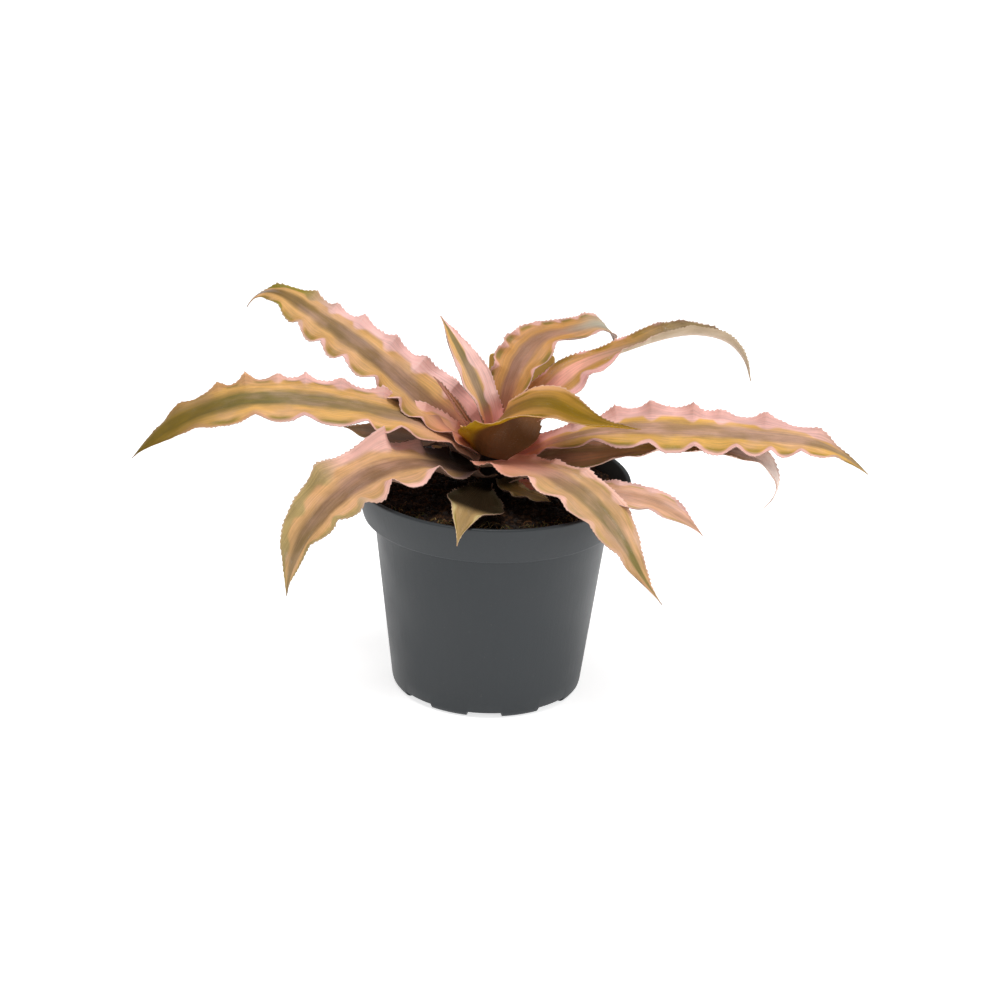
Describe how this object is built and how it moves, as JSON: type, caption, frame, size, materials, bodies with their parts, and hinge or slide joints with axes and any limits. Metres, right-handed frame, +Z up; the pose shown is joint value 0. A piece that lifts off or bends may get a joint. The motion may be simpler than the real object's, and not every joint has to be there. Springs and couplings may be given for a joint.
{
  "type": "potted earth star",
  "caption": "Potted earth star: a rosette of arching, wavy-edged striped leaves on a short stem, in a round plastic grower's pot filled with soil, with a blank plant label",
  "frame": {"origin": "the middle of the pot's underside, on the flat pad that stands on the table", "axes": "+Z up through the stem, +X along the two longest leaves, -Y towards the side the plant is seen from"},
  "size_m": [0.3135, 0.1495, 0.1637],
  "materials": {
    "grey_plastic": "matte",
    "label_plastic": "satin",
    "dark_soil": "matte",
    "stem": "matte",
    "leaf": "satin"
  },
  "bodies": {
    "root": {"pot": "grey_plastic", "plant_label": "label_plastic", "soil": "dark_soil", "stem": "stem", "leaf_back_left": "leaf", "leaf_left": "leaf", "leaf_front_left": "leaf", "leaf_heart_tall": "leaf", "leaf_back_right": "leaf", "leaf_right_twisted": "leaf", "leaf_heart_right": "leaf", "leaf_right": "leaf", "leaf_right_under": "leaf", "leaf_front_right": "leaf", "leaf_right_low": "leaf", "leaf_front_short": "leaf", "leaf_front_shaded": "leaf", "leaf_heart_thin": "leaf", "leaf_left_under": "leaf", "leaf_back": "leaf", "leaf_back_left_low": "leaf", "leaf_back_short": "leaf"}
  },
  "joints": []
}
